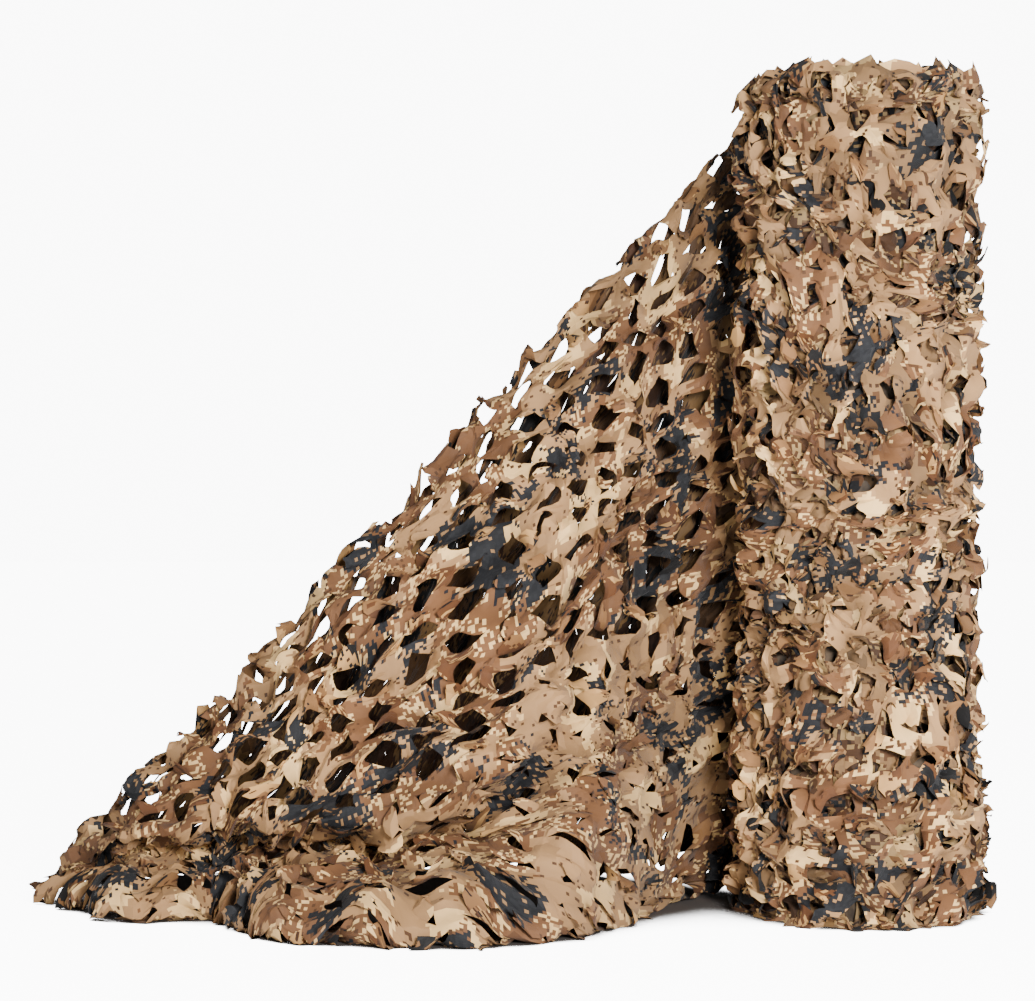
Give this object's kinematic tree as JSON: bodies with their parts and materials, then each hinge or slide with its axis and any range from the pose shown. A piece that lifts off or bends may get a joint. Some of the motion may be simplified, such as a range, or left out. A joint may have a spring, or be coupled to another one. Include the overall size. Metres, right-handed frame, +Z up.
{
  "type": "camouflage netting roll",
  "caption": "Roll of leaf-cut camouflage netting standing on its end, its loose end drawn out sideways and draped to the floor as a low tent.",
  "frame": {"origin": "on the floor, at the centre of the standing roll's flat bottom end", "axes": "+Z up along the roll, -X from the roll towards the free end, -Y towards the side that the front layer falls to"},
  "size_m": [1.7402, 0.9719, 1.49],
  "materials": {
    "rolled_web": "matt coated polyester cloth printed with tan, brown and charcoal camouflage, cut into leaves",
    "draped_web": "matt coated polyester cloth printed with tan, brown and charcoal camouflage, cut into leaves"
  },
  "bodies": {
    "root": {"rolled_net": "rolled_web", "loose_end": "draped_web"}
  },
  "joints": []
}
